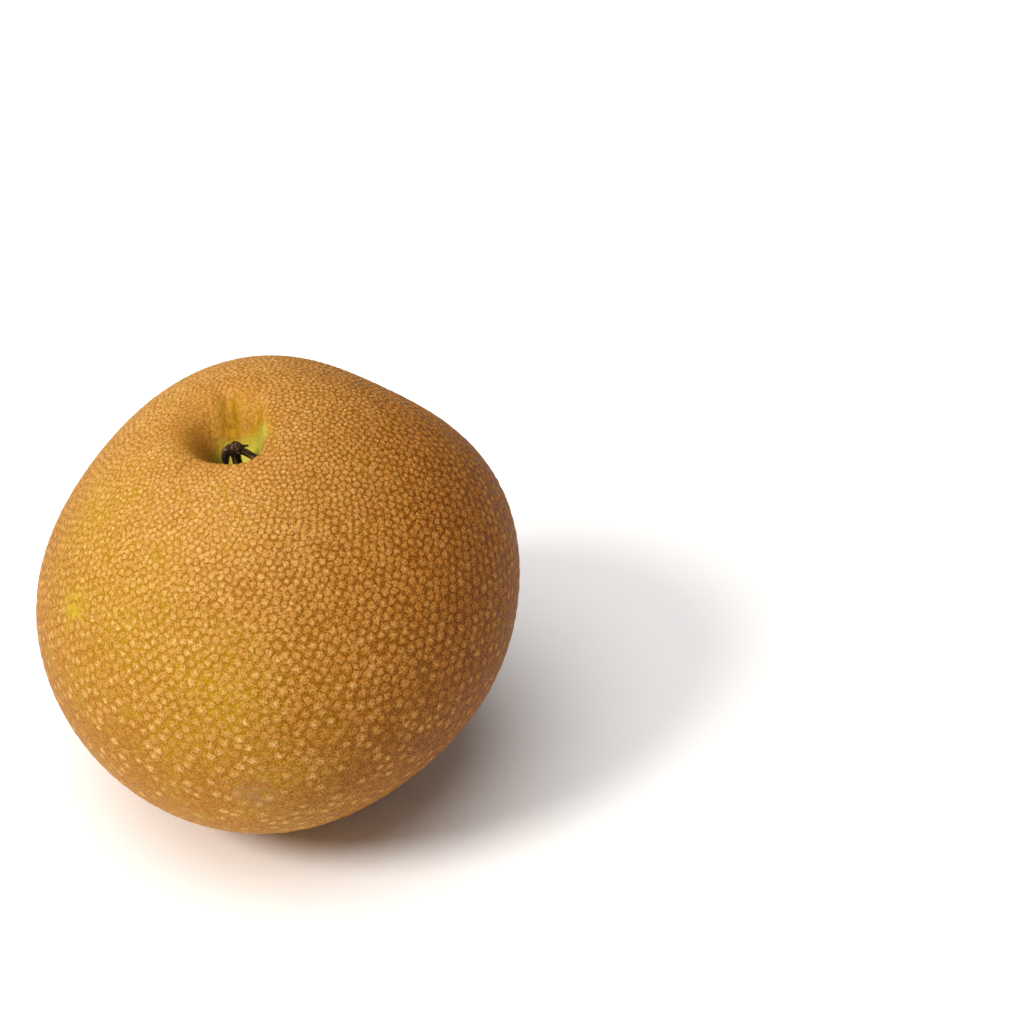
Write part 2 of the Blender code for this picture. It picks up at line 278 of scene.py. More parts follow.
# %% [markdown]
# ## The lenticels
# A russet nashi is covered with lenticels: corky spots that the skin breathes through. At the stem
# end they are small and packed like pebbles, and towards the calyx they grow and stand apart. They
# could be painted, but their edges catch the light, so each is a small dome of its own. A
# golden-angle spiral spreads them evenly, as leaves are spread on a shoot, and its spacing grows
# on the way. The convex hull of the points joins neighbours, and the dual of that hull gives each
# lenticel its own cell.

# %% Spiral and hull
def piece_from_points(name, points):
    """A new object that holds loose points, selected and active."""
    select_none()
    mesh = bpy.data.meshes.new(name)
    mesh.from_pydata([tuple(point) for point in points], [], [])
    made = bpy.data.objects.new(name, mesh)
    bpy.context.scene.collection.objects.link(made)
    made.select_set(True)
    bpy.context.view_layer.objects.active = made
    return made


SPACING_STEM, SPACING_CALYX = 0.98 * MM, 3.95 * MM
LENTICEL_JITTER = 0.21
HEXAGON_PACKING = math.sqrt(3) / 2
GOLDEN_ANGLE = math.pi * (3 - math.sqrt(5))


def lenticel_ways():
    """Directions of the lenticels, from the stem to the calyx."""
    first, last = SPACING_STEM, SPACING_CALYX
    count = round(4 * math.pi * MEAN_RADIUS**2 / (HEXAGON_PACKING * first * last))
    number = np.arange(count)
    spacing = 1 / (1 / first + (number + 0.5) / count * (1 / last - 1 / first))
    height = 1 - 2 * (spacing - first) / (last - first)
    ring, spiral = np.sqrt(1 - height**2), number * GOLDEN_ANGLE
    right, away = (np.array(side) for side in frame_about(STEM_WAY))
    ways = np.outer(height, np.array(STEM_WAY)) + np.outer(ring * np.cos(spiral), right)
    ways += np.outer(ring * np.sin(spiral), away)
    chance = np.random.default_rng(11)
    ways += chance.normal(size=ways.shape) * (LENTICEL_JITTER * spacing / MEAN_RADIUS)[:, None]
    return ways / np.linalg.norm(ways, axis=1)[:, None]


skin = piece_from_points("skin", lenticel_ways())
bpy.ops.object.mode_set(mode="EDIT")
bpy.ops.mesh.select_all(action="SELECT")
bpy.ops.mesh.convex_hull(join_triangles=False)
bpy.ops.object.mode_set(mode="OBJECT")
print("lenticels:", len(skin.data.vertices), "triangles between them:", len(skin.data.polygons))

# %% [markdown]
# The dual comes from a node, and so does all of the paint later on, so one function adds any node
# with its settings and its links.

# %% Cells
def add(tree, kind, settings=None, out=0, **inputs):
    """Adds a node and gives back one of its outputs.

    An input is a value, a hex colour, or an output of another node, which is then linked. Its
    name has underscores for spaces, or is an underscore and its number. The setting named stops
    holds the places and the colours of a ramp.
    """
    made = tree.nodes.new(kind)
    for name, value in (settings or {}).items():
        if name == "stops":
            points = made.color_ramp.elements
            while len(points) < len(value):
                points.new(1.0)
            for point, (place, shade) in zip(points, value):
                point.position = place
                point.color = colour(shade)
        elif name == "interpolation":
            made.color_ramp.interpolation = value
        else:
            setattr(made, name, value)
    for name, value in inputs.items():
        plain = name.replace("_", " ").strip()
        socket = made.inputs[int(plain)] if plain.isdigit() else made.inputs[plain]
        if isinstance(value, bpy.types.NodeSocket):
            tree.links.new(value, socket)
        else:
            socket.default_value = colour(value) if isinstance(value, str) else value
    return made.outputs[out] if made.outputs else made


dual_nodes = bpy.data.node_groups.new("cells", "GeometryNodeTree")
dual_nodes.interface.new_socket("Geometry", in_out="INPUT", socket_type="NodeSocketGeometry")
dual_nodes.interface.new_socket("Geometry", in_out="OUTPUT", socket_type="NodeSocketGeometry")
whole = add(dual_nodes, "NodeGroupInput")
add(dual_nodes, "NodeGroupOutput", _0=add(dual_nodes, "GeometryNodeDualMesh", _0=whole))
cells = skin.modifiers.new("cells", "NODES")
cells.node_group = dual_nodes
bpy.ops.object.modifier_apply(modifier="cells")
print("cells:", len(skin.data.polygons))

# %% [markdown]
# A lenticel is a low dome with a rounded shoulder. Two insets in each cell and a poke give it two
# rings and a middle. The insets only make the faces: the next steps move the rings to the dome's
# edge and to its shoulder, and lift them.

# %% Inset and poke
INSET_WIDTH = 0.002
cell_of = skin.data.attributes.new("cell", "INT", "FACE")
cell_of.data.foreach_set("value", np.arange(len(skin.data.polygons), dtype=np.int32))
bpy.ops.object.mode_set(mode="EDIT")
bpy.ops.mesh.select_mode(type="FACE")
bpy.ops.mesh.select_all(action="SELECT")
bpy.ops.mesh.inset(thickness=INSET_WIDTH, use_individual=True)
bpy.ops.mesh.inset(thickness=INSET_WIDTH, use_individual=True)
bpy.ops.mesh.poke()
bpy.ops.object.mode_set(mode="OBJECT")
print("faces:", len(skin.data.polygons))

# %% Roles of the vertices
# A vertex is told by the faces that meet in it: on a border they belong to different cells, in a
# middle they are all triangles, on the inner ring some are, and on the outer ring none is.
mesh = skin.data
mesh.update()
vertex_count, face_count = len(mesh.vertices), len(mesh.polygons)
corner_vertex = np.zeros(len(mesh.loops), dtype=np.int64)
mesh.loops.foreach_get("vertex_index", corner_vertex)
face_sides = np.zeros(face_count, dtype=np.int64)
mesh.polygons.foreach_get("loop_total", face_sides)
face_cell = np.zeros(face_count, dtype=np.int32)
mesh.attributes["cell"].data.foreach_get("value", face_cell)
corner_cell = np.repeat(face_cell, face_sides)
corner_is_triangle = np.repeat(face_sides == 3, face_sides)
flat_places = np.zeros(vertex_count * 3)
mesh.vertices.foreach_get("co", flat_places)
ways = flat_places.reshape(-1, 3)
ways /= np.linalg.norm(ways, axis=1)[:, None]

lowest_cell = np.full(vertex_count, face_cell.max() + 1)
highest_cell = np.full(vertex_count, -1)
np.minimum.at(lowest_cell, corner_vertex, corner_cell)
np.maximum.at(highest_cell, corner_vertex, corner_cell)
triangles_at = np.bincount(corner_vertex, corner_is_triangle, vertex_count)
corners_at = np.bincount(corner_vertex, minlength=vertex_count)
is_border = lowest_cell != highest_cell
is_middle = triangles_at == corners_at
is_inner = (triangles_at > 0) & ~is_middle
is_outer = ~(is_border | is_middle | is_inner)
vertex_cell = lowest_cell
middles = np.zeros((face_cell.max() + 1, 3))
middles[vertex_cell[is_middle]] = ways[is_middle]
print("middles", is_middle.sum(), "inner", is_inner.sum(), "outer", is_outer.sum(), "border", is_border.sum())

# %% Where the skin is smooth
CORE_START, CORE_END = 3.4 * MM, 6.4 * MM
# Strips behind the stem: bearing in degrees, half width, start and end
SMOOTH_STRIPS = ((97, 1.9 * MM, 3.0 * MM, 14.0 * MM), (60, 1.3 * MM, 3.0 * MM, 11.0 * MM))
STRIP_START_FADE = 1 * MM
BASIN_EDGE, BASIN_FADE = 7.0 * MM, 4.0 * MM
WALL_RELIEF, RIM_FADE = 0.45, 3.5 * MM


def smooth_strip(directions):
    """1 in the furrows behind the stem, where the skin is thin, yellow and without lenticels."""
    reach, bearing = place_about(directions, STEM_WAY)
    strength = np.zeros(len(directions))
    for degrees, half_width, start, end in SMOOTH_STRIPS:
        turned = bearing - math.radians(degrees)
        across = reach * np.sin(turned) / half_width
        along = ease((end - reach) / (0.5 * (end - start))) * ease((reach - start) / STRIP_START_FADE)
        strength = np.maximum(strength, np.exp(-(across**2)) * along * (np.cos(turned) > 0))
    return strength


def lenticel_strength(directions):
    """1 on the open skin, less in the cavity, 0 by the stem, in the smooth strips and by the calyx."""
    reach, bearing = place_about(directions, STEM_WAY)
    under, _ = place_about(directions, CALYX_WAY)
    core = ease((reach - CORE_START) / (CORE_END - CORE_START))
    wall = WALL_RELIEF + (1 - WALL_RELIEF) * ease((reach - pit_mouth(bearing)) / RIM_FADE + 1)
    return core * wall * (1 - smooth_strip(directions)) * ease((under - BASIN_EDGE) / BASIN_FADE)


print("full-strength lenticels:", int((lenticel_strength(middles) > 0.99).sum()))

# %% Lenticel sizes
SHARE_STEM, SHARE_CALYX, SHARE_CURVE = 0.53, 0.40, 0.8
HEIGHT_STEM, HEIGHT_CALYX = 0.10 * MM, 0.06 * MM
RADIUS_CHANCE, HEIGHT_CHANCE, RING_CHANCE = (0.78, 1.10), (0.75, 1.25), (0.92, 1.08)
chance = np.random.default_rng(23)
cell_count = len(middles)
from_stem = (1 - middles @ np.array(STEM_WAY)) / 2
cell_spacing = SPACING_STEM + (SPACING_CALYX - SPACING_STEM) * from_stem
cell_share = SHARE_STEM + (SHARE_CALYX - SHARE_STEM) * from_stem**SHARE_CURVE
cell_radius = cell_spacing * cell_share * chance.uniform(*RADIUS_CHANCE, cell_count)
cell_tone = chance.uniform(0, 1, cell_count)
cell_height = HEIGHT_STEM + (HEIGHT_CALYX - HEIGHT_STEM) * from_stem
cell_height = cell_height * chance.uniform(*HEIGHT_CHANCE, cell_count) * lenticel_strength(middles)
widths = 2 * cell_radius / MM
print("lenticels are", round(widths.min(), 2), "to", round(widths.max(), 2), "mm wide")

# %% Relief
INNER_RING, INNER_HEIGHT = 0.56, 0.80
GROOVE_STEM = 0.05 * MM
# How far an inset moved a ring in, on a ball of radius 1, and the most of its cell that a lenticel fills
RING_SPARE, ROOM_IN_CELL = 0.0023, 0.94
ring = is_inner | is_outer
own_middle = middles[vertex_cell[ring]]
outward = ways[ring] - own_middle
room = np.linalg.norm(outward, axis=1)
wanted = cell_radius[vertex_cell[ring]] / MEAN_RADIUS
wanted = np.minimum(wanted, ROOM_IN_CELL * (room + np.where(is_inner[ring], 2, 1) * RING_SPARE))
wanted = wanted * np.where(is_inner[ring], INNER_RING, 1.0) * chance.uniform(*RING_CHANCE, ring.sum())
ways[ring] = own_middle + outward * (wanted / room)[:, None]
ways /= np.linalg.norm(ways, axis=1)[:, None]

relief = np.zeros(vertex_count)
relief[is_middle] = cell_height[vertex_cell[is_middle]]
relief[is_inner] = cell_height[vertex_cell[is_inner]] * INNER_HEIGHT
crownward = (1 + ways @ np.array(STEM_WAY)) / 2
relief[is_border] -= (GROOVE_STEM * crownward * lenticel_strength(ways))[is_border]
places = ways * (skin_radius(ways) + relief)[:, None]
print("domes rise up to", round(relief.max() / MM, 3), "mm")

# %% Foot
# What would hang below the floor is drawn back to it: the fruit's weight rests on this flat ring
below = places[:, 2] < -HEART.z
places[below] *= (-HEART.z / places[below, 2])[:, None]
places += np.array(HEART)
mesh.vertices.foreach_set("co", places.ravel())
mesh.update()
print("skin spans", np.round((places.max(0) - places.min(0)) / MM, 2), "mm")
print("its foot has", int(below.sum()), "points")

# %% [markdown]
# ## Numbers for the paint
# The paint has to sit on the domes, so the mesh keeps what the paint must know. A UV map tells
# where a point is in its lenticel, and length 1 there is the lenticel's edge. Other numbers tell
# how far it is from the stem, which cavity wall faces the lamps, where the skin is golden and
# partly painted light, smooth or marked, and where a line of shade is painted in a crease.

# %% Lenticel map
cell_right = np.cross(middles, (0.0, 0.0, 1.0))
cell_right /= np.linalg.norm(cell_right, axis=1)[:, None]
cell_up = np.cross(middles, cell_right)
offset = ways[corner_vertex] - middles[corner_cell]
across = np.einsum("ij,ij->i", offset, cell_right[corner_cell]) * MEAN_RADIUS / cell_radius[corner_cell]
along = np.einsum("ij,ij->i", offset, cell_up[corner_cell]) * MEAN_RADIUS / cell_radius[corner_cell]
lenticel_map = mesh.uv_layers.new(name="lenticel")
lenticel_map.data.foreach_set("uv", np.column_stack((across, along)).ravel())
print("lenticel map reaches", round(float(np.hypot(across, along).max()), 2), "radii")

# %% Distances and patches
def paint_value(mesh, name, values, domain="POINT"):
    """Keeps one number for each vertex or face, for a shader to read."""
    made = mesh.attributes.new(name, "FLOAT", domain)
    made.data.foreach_set("value", np.asarray(values, dtype=np.float32))


# Golden patches face the lamps: partly the skin's own gold, partly painted light
GOLDEN_LIT_BLOBS = (
    (unit(-0.52, -0.71, 0.47), 0.26),
    (unit(-0.11, -0.95, 0.29), 0.22),
    (unit(-0.70, -0.30, 0.64), 0.22),
)
FRESH_BLOB = (unit(-0.755, -0.534, 0.381), 0.075)
SCUFF_BLOB = (unit(-0.037, -0.978, -0.209), 0.085)
# The cavity wall that faces the lamps, which gets painted light while the other wall gets painted
# shade: the bearing of its middle, and where it starts and how it fades
LIT_WALL_BEARING, LIT_WALL_START, LIT_WALL_FADE = math.radians(60), 0.15, 0.7
# A line of painted shade runs in the main furrow, a little to one side, where the fold is in shade
CREASE_BEARING, CREASE_ASIDE, CREASE_WIDTH = math.radians(97), 0.55 * MM, 0.7 * MM
CREASE_START, CREASE_START_FADE, CREASE_END, CREASE_END_FADE = 5 * MM, 2 * MM, 13 * MM, 3 * MM


def blob(facing, spread):
    """1 round a direction, fading away over a spread in radians."""
    apart = np.arccos(np.clip(ways @ np.array(facing), -1, 1))
    return np.exp(-((apart / spread) ** 2))


stem_reach, stem_bearing = place_about(ways, STEM_WAY)
crease_side = stem_reach * np.sin(stem_bearing - CREASE_BEARING) + CREASE_ASIDE
crease = np.exp(-((crease_side / CREASE_WIDTH) ** 2)) * (np.cos(stem_bearing - CREASE_BEARING) > 0)
crease *= ease((stem_reach - CREASE_START) / CREASE_START_FADE)
crease *= ease((CREASE_END - stem_reach) / CREASE_END_FADE)
paint_value(mesh, "tone", cell_tone[face_cell], "FACE")
paint_value(mesh, "stem_reach", stem_reach / MM)
paint_value(mesh, "rim_reach", (stem_reach - pit_mouth(stem_bearing)) / MM)
paint_value(mesh, "open_skin", lenticel_strength(ways))
paint_value(mesh, "strip", smooth_strip(ways))
paint_value(mesh, "golden", np.minimum(sum(blob(*patch) for patch in GOLDEN_LIT_BLOBS), 1))
lit = ease((np.cos(stem_bearing - LIT_WALL_BEARING) + LIT_WALL_START) / LIT_WALL_FADE)
paint_value(mesh, "lit_wall", lit)
paint_value(mesh, "fresh", blob(*FRESH_BLOB))
paint_value(mesh, "scuff", blob(*SCUFF_BLOB))
paint_value(mesh, "crease", crease)
mesh.attributes.remove(mesh.attributes["cell"])
bpy.ops.object.mode_set(mode="EDIT")
bpy.ops.mesh.select_all(action="SELECT")
bpy.ops.mesh.normals_make_consistent(inside=False)
bpy.ops.object.mode_set(mode="OBJECT")
bpy.ops.object.shade_smooth()
print("skin has", len(mesh.loop_triangles), "triangles")

# %% [markdown]
# ## Skin paint
# The skin is russet: a thin layer of cork that grew over the green fruit as it swelled. Cork is
# full of air and has a dull waxy surface, so it looks matt, with a soft sheen only where it is
# thin. It is golden brown where it is thin and tan where the lenticels have built it up. So the
# paint has two colours, a ground and a cork, and a ragged disc on each lenticel chooses between.

# %% Values that the paint reads
MAP, MATH, MIX, NOISE = "ShaderNodeMapRange", "ShaderNodeMath", "ShaderNodeMix", "ShaderNodeTexNoise"
SMOOTH = {"interpolation_type": "SMOOTHSTEP"}
# A mix of colours has its share at input 0 and its colours at 6 and 7, and its result at output 2
COLOURS = {"data_type": "RGBA"}
TIMES, TIMES_PLUS = {"operation": "MULTIPLY"}, {"operation": "MULTIPLY_ADD"}
PLUS, MINUS = {"operation": "ADD"}, {"operation": "SUBTRACT"}
SOFT_NOISE, ROUGH_NOISE = 0.55, 0.60
POLE_TO_POLE_MM = 130.0


def per_mm(size):
    """The scale of a pattern whose blobs are about this many millimetres across."""
    return 1 / (size * MM)


russet, tree, shader = new_material("russet cork skin")
place = add(tree, "ShaderNodeTexCoord", out="Object")
PLACE_VALUES = ("stem_reach", "rim_reach", "open_skin", "lit_wall", "strip", "crease")
SHADE_VALUES = ("tone", "golden", "fresh", "scuff")
kept = {}
for name in PLACE_VALUES + SHADE_VALUES:
    kept[name] = add(tree, "ShaderNodeAttribute", {"attribute_name": name}, out="Fac")
stem_mm, rim_mm, open_skin, tone = (kept[name] for name in ("stem_reach", "rim_reach", "open_skin", "tone"))
share_down = add(tree, MATH, {"operation": "DIVIDE"}, _0=stem_mm, _1=POLE_TO_POLE_MM)
to_right = add(tree, "ShaderNodeSeparateXYZ", out="X", Vector=place)
around = add(tree, "ShaderNodeUVMap", {"uv_map": "lenticel"}, out="UV")
from_middle = add(tree, "ShaderNodeVectorMath", {"operation": "LENGTH"}, out="Value", _0=around)
print("the paint reads", len(kept), "numbers and the lenticel map")

# %% [markdown]
# A lenticel's edge is torn, because dead cork flakes as the fruit grows. So its distance map is
# made ragged with crumbs before the disc is cut out of it. Crumbs are about 0.1 to 0.2 mm on the
# fruit. Here they are 0.4 mm, as coarse as they need to be to show. Low on the fruit the discs are
# softer and only some of them are clear.

# %% Lenticel discs
CRUMB_MM, CLUMP_MM = 0.40, 0.42
CELLS = "ShaderNodeTexVoronoi"
clump = add(tree, CELLS, {"feature": "F1"}, out="Distance", Vector=place, Scale=per_mm(CLUMP_MM))
crumb = add(tree, NOISE, Vector=place, Scale=per_mm(CRUMB_MM), Detail=2.0, Roughness=SOFT_NOISE)
crumb = add(tree, MATH, PLUS, _0=crumb, _1=add(tree, MATH, TIMES_PLUS, _0=clump, _1=0.45, _2=-0.72))
tearing = add(tree, MAP, SMOOTH, Value=share_down, From_Min=0.05, From_Max=0.70, To_Min=0.70, To_Max=1.50)
ragged = add(tree, MATH, TIMES_PLUS, _0=crumb, _1=tearing, _2=from_middle)
soft_edge = add(tree, MAP, SMOOTH, Value=share_down, From_Min=0.30, From_Max=0.75, To_Min=0.80, To_Max=0.30)
disc = add(tree, MAP, SMOOTH, Value=ragged, From_Min=soft_edge, From_Max=1.08, To_Min=1.0, To_Max=0.0)
low_left = add(tree, MATH, TIMES_PLUS, _0=to_right, _1=-1.6, _2=share_down)
faintest = add(tree, MAP, SMOOTH, Value=low_left, From_Min=0.34, From_Max=0.52, To_Min=1.0, To_Max=0.30)
clear = add(tree, MAP, SMOOTH, Value=tone, From_Min=0.34, From_Max=0.60, To_Min=1.0, To_Max=faintest)
for share in (clear, open_skin):
    disc = add(tree, MATH, TIMES, _0=disc, _1=share)
disc_heart = add(tree, MAP, SMOOTH, Value=ragged, From_Min=0.05, From_Max=0.65, To_Min=1.0, To_Max=0.0)
print("discs made with", len(tree.nodes), "nodes")

# %% Ground and cork
# Both colours change on the way from the stem, at 0, to the calyx, at 1
RAMP = "ShaderNodeValToRGB"
# Lighter near the stem, on the top: partly the skin's own tone, partly painted light on the top of the fruit
GROUND_STOPS = (
    (0.00, "#B07C2C"),
    (0.15, "#A87224"),
    (0.28, "#9A6416"),
    (0.42, "#A26A10"),
    (0.62, "#AE7018"),
    (0.80, "#BA7E2A"),
    (1.00, "#C08E50"),
)
CORK_STOPS = (
    (0.00, "#E0AE6A"),
    (0.15, "#D29F5A"),
    (0.30, "#C08D46"),
    (0.55, "#CA9448"),
    (1.00, "#E2B87C"),
)
ground = add(tree, RAMP, {"interpolation": "EASE", "stops": GROUND_STOPS}, out="Color", Fac=share_down)
cork = add(tree, RAMP, {"interpolation": "EASE", "stops": CORK_STOPS}, out="Color", Fac=share_down)
print("ground has", len(GROUND_STOPS), "stops and cork has", len(CORK_STOPS))

# %% [markdown]
# The fruit hung with one side to the sun. Russet is heavier and browner there, which here is the
# right side, and on the other side the green and gold of the skin below show through in patches.
# The brown on the right is also painted shade, darkest at the far right, away from the lamps, and
# the golden patches on the front left are partly painted light. Each is a share from 0 to 1 that
# is laid over the two colours.

# %% Green patches, and golden patches that are partly painted light
PATCH_MM, SMALL_PATCH_MM = 13.0, 3.2
patch = add(tree, NOISE, Vector=place, Scale=per_mm(PATCH_MM), Detail=3.0, Roughness=ROUGH_NOISE)
patch = add(tree, MAP, SMOOTH, Value=patch, From_Min=0.46, From_Max=0.60)
small_patch = add(tree, NOISE, Vector=place, Scale=per_mm(SMALL_PATCH_MM), Detail=3.0, Roughness=SOFT_NOISE)
small_patch = add(tree, MAP, SMOOTH, Value=small_patch, From_Min=0.35, From_Max=0.60)
less_below = add(tree, MAP, SMOOTH, Value=share_down, From_Min=0.75, From_Max=0.98, To_Min=0.55, To_Max=0.10)
green = add(tree, MATH, TIMES, _0=patch, _1=small_patch)
green = add(tree, MATH, TIMES, _0=green, _1=less_below)
# Golden patches: partly the skin's own gold, partly painted light where the skin faces the lamps
golden = add(tree, MATH, TIMES, _0=kept["golden"], _1=0.60)
ground = add(tree, MIX, COLOURS, out=2, _0=green, _6=ground, _7="#B08A0A")
ground = add(tree, MIX, COLOURS, out=2, _0=golden, _6=ground, _7="#B08A0E")
cork = add(tree, MIX, COLOURS, out=2, _0=golden, _6=cork, _7="#C8A242")
print("patches", PATCH_MM, "mm across, broken up at", SMALL_PATCH_MM, "mm")

# %% Brown side and painted shade
# Where the brown and its painted shade start and end, to the right of the middle, with an edge
# that wanders
WANDER_MM, WANDER_REACH, WANDER_BACK = 16.0, 16 * MM, 8 * MM
BROWN_START, BROWN_END, BROWN_MOST = -11 * MM, 31 * MM, 0.88
FAR_START, FAR_END, FAR_MOST = 18 * MM, 38 * MM, 0.80
wander = add(tree, NOISE, Vector=place, Scale=per_mm(WANDER_MM), Detail=2.0, Roughness=SOFT_NOISE)
from_heart = add(tree, MATH, MINUS, _0=to_right, _1=WANDER_BACK)
wander = add(tree, MATH, TIMES_PLUS, _0=wander, _1=WANDER_REACH, _2=from_heart)
brown_and_shade = add(tree, MAP, SMOOTH, Value=wander, From_Min=BROWN_START, From_Max=BROWN_END, To_Max=BROWN_MOST)
far_side_shade = add(tree, MAP, SMOOTH, Value=wander, From_Min=FAR_START, From_Max=FAR_END, To_Max=FAR_MOST)
# Darkest at the far right: painted shade on the side away from the lamps
brown_shaded_ground = add(tree, MIX, COLOURS, out=2, _0=far_side_shade, _6="#804406", _7="#6A2A00")
brown_shaded_cork = add(tree, MIX, COLOURS, out=2, _0=far_side_shade, _6="#B06A1E", _7="#8C3A00")
ground = add(tree, MIX, COLOURS, out=2, _0=brown_and_shade, _6=ground, _7=brown_shaded_ground)
varied = add(tree, MATH, TIMES, _0=tone, _1=0.45)
cork = add(tree, MIX, COLOURS, out=2, _0=varied, _6=cork, _7="#BE7E2C")
brown_and_shade_share = add(tree, MATH, TIMES, _0=brown_and_shade, _1=0.88)
cork = add(tree, MIX, COLOURS, out=2, _0=brown_and_shade_share, _6=cork, _7=brown_shaded_cork)
print("brown grows from", BROWN_START / MM, "to", BROWN_END / MM, "mm")

# %% Pale hearts
# The oldest cork, in the middle of a lenticel, is dry and palest
heart_tone = add(tree, MAP, SMOOTH, Value=tone, From_Min=0.0, From_Max=0.70, To_Min=0.95, To_Max=0.20)
heart_down = add(tree, MAP, SMOOTH, Value=share_down, From_Min=0.20, From_Max=0.60, To_Min=0.55, To_Max=1.0)
less_if_brown = add(tree, MAP, SMOOTH, Value=brown_and_shade, From_Min=0.0, From_Max=1.0, To_Min=1.0, To_Max=0.55)
pale = disc_heart
for share in (heart_tone, heart_down, less_if_brown):
    pale = add(tree, MATH, TIMES, _0=pale, _1=share)
cork = add(tree, MIX, COLOURS, out=2, _0=pale, _6=cork, _7="#EAC680")
paint = add(tree, MIX, COLOURS, out=2, _0=disc, _6=ground, _7=cork)
print("base colours take", len(tree.nodes), "nodes")

# %% [markdown]
# Seen close, each lenticel has a darker edge where dirt and shade gather, fine seams between its
# crumbs, and the skin between has a grain of pale flakes and dark specks. The real grain is
# 0.05 to 0.15 mm. One pixel is about 0.18 mm, so the grain is drawn coarser, at 0.34 mm.

# %% Edges and seams
in_pit = add(tree, MAP, SMOOTH, Value=rim_mm, From_Min=-4.0, From_Max=2.2, To_Min=1.0, To_Max=0.0)
edge = add(tree, MAP, SMOOTH, Value=ragged, From_Min=0.80, From_Max=1.00)
edge_shares = (
    add(tree, MAP, SMOOTH, Value=ragged, From_Min=1.22, From_Max=1.02),
    add(tree, MAP, SMOOTH, Value=share_down, From_Min=0.30, From_Max=0.72, To_Min=0.42, To_Max=0.0),
    add(tree, MATH, PLUS, _0=brown_and_shade, _1=0.55),
    add(tree, MATH, TIMES_PLUS, _0=in_pit, _1=-0.6, _2=1.0),
    open_skin,
)
for share in edge_shares:
    edge = add(tree, MATH, TIMES, _0=edge, _1=share)
seam_depth = add(tree, MATH, TIMES_PLUS, _0=brown_and_shade, _1=0.25, _2=0.42)
seams = add(tree, MAP, SMOOTH, Value=clump, From_Min=0.40, From_Max=0.66, To_Max=seam_depth)
seams = add(tree, MATH, TIMES, _0=seams, _1=disc)
for share, shade in ((edge, "#88500C"), (seams, "#A8682A")):
    paint = add(tree, MIX, COLOURS, out=2, _0=share, _6=paint, _7=shade)
print("edges and seams laid on")

# %% Grain
GRAIN_MM = 0.34
grain = add(tree, NOISE, Vector=place, Scale=per_mm(GRAIN_MM), Detail=2.0, Roughness=ROUGH_NOISE)
flakes = add(tree, MAP, SMOOTH, Value=share_down, From_Min=0.45, From_Max=0.80, To_Min=0.40, To_Max=0.85)
pale_grain = add(tree, MAP, SMOOTH, Value=grain, From_Min=0.51, From_Max=0.62, To_Max=flakes)
less_if_brown = add(tree, MAP, SMOOTH, Value=brown_and_shade, From_Min=0.0, From_Max=1.0, To_Min=1.0, To_Max=0.60)
pale_grain = add(tree, MATH, TIMES, _0=pale_grain, _1=less_if_brown)
specks = add(tree, MAP, SMOOTH, Value=share_down, From_Min=0.40, From_Max=0.70, To_Min=0.42, To_Max=0.52)
specks = add(tree, MATH, TIMES_PLUS, _0=brown_and_shade, _1=0.35, _2=specks)
dark_grain = add(tree, MAP, SMOOTH, Value=grain, From_Min=0.48, From_Max=0.38, To_Max=specks)
speck_colour = add(tree, MIX, COLOURS, out=2, _0=brown_and_shade, _6="#8A520E", _7="#5E3004")
for share, shade in ((pale_grain, "#DCA852"), (dark_grain, speck_colour)):
    paint = add(tree, MIX, COLOURS, out=2, _0=share, _6=paint, _7=shade)
print("grain drawn at", GRAIN_MM, "mm")

# %% [markdown]
# In the stem cavity the skin stays thin and moist, because sun and wind don't reach it. It is
# fresh green round the stem and yellow in the furrows. The wall that faces the light is painted
# yellow as painted light, and the wall in shade is painted brown as painted shade, with the green
# darker there and close under the stem. The rim has a warm blush.

# %% Cavity, with painted light and painted shade
STREAK_MM, LOOSE_EDGE_MM, BLUSH_MM = 1.2, 1.2, 5.0
lit_wall = kept["lit_wall"]
loose = add(tree, NOISE, Vector=place, Scale=per_mm(LOOSE_EDGE_MM), Detail=3.0, Roughness=SOFT_NOISE)
shifted = add(tree, MATH, MINUS, _0=stem_mm, _1=1.2)
loose = add(tree, MATH, TIMES_PLUS, _0=loose, _1=2.4, _2=shifted)
# Less green on the wall in shade, where painted shade takes its place
loose = add(tree, MATH, TIMES_PLUS, _0=lit_wall, _1=-0.9, _2=loose)
near_stem = add(tree, MAP, SMOOTH, Value=loose, From_Min=4.5, From_Max=6.6, To_Min=1.0, To_Max=0.0)
inside = add(tree, MAP, SMOOTH, Value=stem_mm, From_Min=4.6, From_Max=9.8, To_Min=0.80, To_Max=0.0)
streaks = add(tree, NOISE, Vector=place, Scale=per_mm(STREAK_MM), Detail=4.0, Roughness=SOFT_NOISE)
streaks = add(tree, MAP, SMOOTH, Value=streaks, From_Min=0.40, From_Max=0.62)
yellow_skin = add(tree, MIX, COLOURS, out=2, _0=streaks, _6="#A57412", _7="#C99C24")
blotches = add(tree, NOISE, Vector=place, Scale=per_mm(BLUSH_MM), Detail=3.0, Roughness=SOFT_NOISE)
blotches = add(tree, MAP, SMOOTH, Value=blotches, From_Min=0.35, From_Max=0.60, To_Min=0.05, To_Max=0.30)
by_rim = add(tree, MAP, SMOOTH, Value=rim_mm, From_Min=7.0, From_Max=0.0)
blush = add(tree, MATH, TIMES, _0=by_rim, _1=blotches)
# Painted shade: brown on the cavity wall that faces away from the lamps
painted_wall_shade = add(tree, MATH, MINUS, _0=1.0, _1=lit_wall)
painted_wall_shade = add(tree, MATH, TIMES, _0=in_pit, _1=painted_wall_shade)
painted_wall_shade = add(tree, MATH, TIMES, _0=painted_wall_shade, _1=0.50)
in_strip = add(tree, MATH, TIMES, _0=kept["strip"], _1=0.95)
